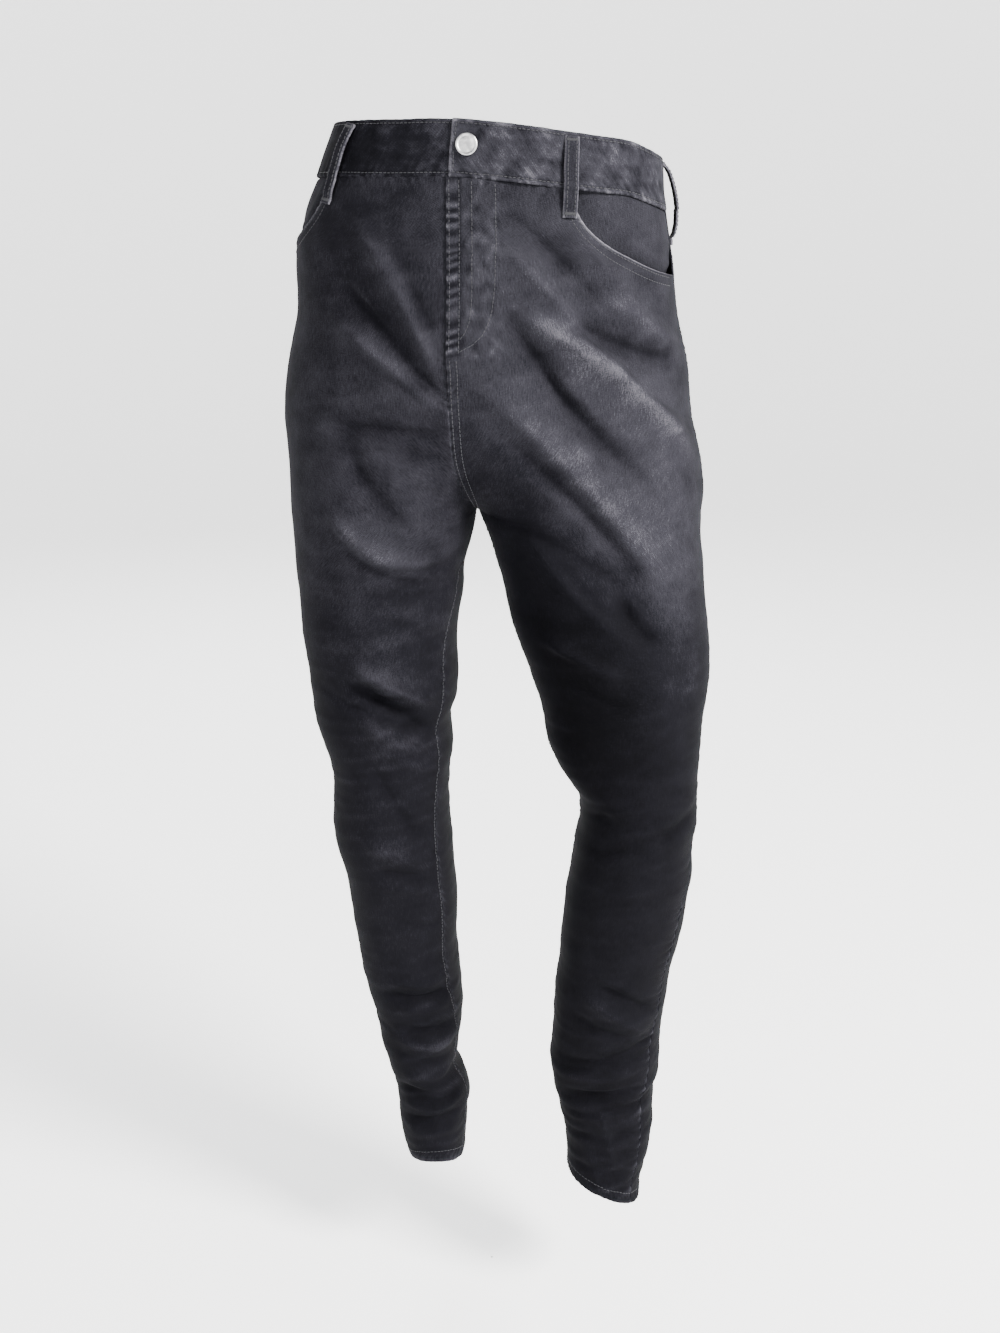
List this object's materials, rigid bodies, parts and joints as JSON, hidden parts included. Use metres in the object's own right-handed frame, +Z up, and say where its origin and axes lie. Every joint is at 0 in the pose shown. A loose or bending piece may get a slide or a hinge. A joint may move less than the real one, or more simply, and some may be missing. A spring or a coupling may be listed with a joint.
{
  "type": "skinny jeans",
  "caption": "High-rise skinny jeans in washed black denim, hollow and worn on a relaxed figure, with a lapped button waistband, belt loops and curved hip pockets.",
  "frame": {"origin": "centre of the waist, at about the middle of the waistband's height", "axes": "+Z up, the wearer faces -Y, the wearer's left is +X"},
  "size_m": [0.3582, 0.2596, 0.9604],
  "materials": {
    "denim": "washed black stretch twill",
    "button_metal": "satin"
  },
  "bodies": {
    "root": {"front_right": "denim", "front_left": "denim", "back_right": "denim", "back_left": "denim", "yoke_right": "denim", "yoke_left": "denim", "pocket_facing_right": "denim", "pocket_facing_left": "denim", "back_pocket_right": "denim", "back_pocket_left": "denim", "waistband": "denim", "belt_loop_front_right": "denim", "belt_loop_front_left": "denim", "belt_loop_side_right": "denim", "belt_loop_side_left": "denim", "belt_loop_back": "denim", "button": "button_metal"}
  },
  "joints": []
}
